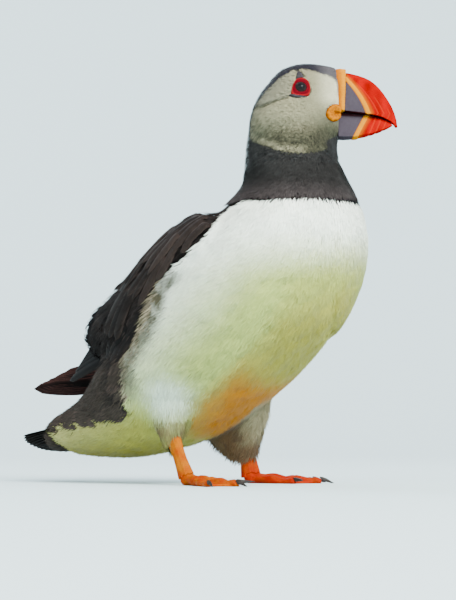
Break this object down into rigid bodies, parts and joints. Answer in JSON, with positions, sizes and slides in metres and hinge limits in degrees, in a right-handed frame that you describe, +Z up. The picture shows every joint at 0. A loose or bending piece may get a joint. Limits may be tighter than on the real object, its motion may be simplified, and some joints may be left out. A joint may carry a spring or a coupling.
{
  "type": "atlantic puffin",
  "caption": "Life-size standing puffin, a still display model with its head turned to its left, wings folded and a deep, ridged bill.",
  "frame": {"origin": "on the floor under the middle of the whole bird's box, at the level of its soles", "axes": "+Z up, -Y the way the body faces, +X the bird's left"},
  "size_m": [0.1164, 0.2244, 0.2184],
  "materials": {
    "face_feathers": "short soft plumage, matte",
    "black_feathers": "plumage, matte with a faint sheen",
    "white_feathers": "silky plumage, matte",
    "leg_skin": "moist scaly skin, satin",
    "claw_horn": "horn, satin",
    "bill_horn": "ridged horn, satin",
    "yellow_skin": "wrinkled bare skin, matte",
    "eye_dark": "wet, glossy",
    "red_skin": "bare skin, satin",
    "grey_horn": "horn, matte"
  },
  "bodies": {
    "root": {"head": "face_feathers", "neck": "black_feathers", "trunk": "white_feathers", "thigh_right": "white_feathers", "thigh_left": "white_feathers", "wing_right": "black_feathers", "wing_left": "black_feathers", "primaries_right": "black_feathers", "primaries_left": "black_feathers", "tail": "black_feathers", "tarsus_right": "leg_skin", "tarsus_left": "leg_skin", "foot_right": "leg_skin", "foot_left": "leg_skin", "claw_inner_right": "claw_horn", "claw_middle_right": "claw_horn", "claw_outer_right": "claw_horn", "claw_inner_left": "claw_horn", "claw_middle_left": "claw_horn", "claw_outer_left": "claw_horn", "bill_upper": "bill_horn", "bill_lower": "bill_horn", "cere": "yellow_skin", "gape_rosette_right": "yellow_skin", "gape_rosette_left": "yellow_skin", "eye_right": "eye_dark", "eye_left": "eye_dark", "eye_ring_right": "red_skin", "eye_ring_left": "red_skin", "eye_plate_upper_right": "grey_horn", "eye_plate_upper_left": "grey_horn", "eye_plate_lower_right": "grey_horn", "eye_plate_lower_left": "grey_horn"}
  },
  "joints": []
}
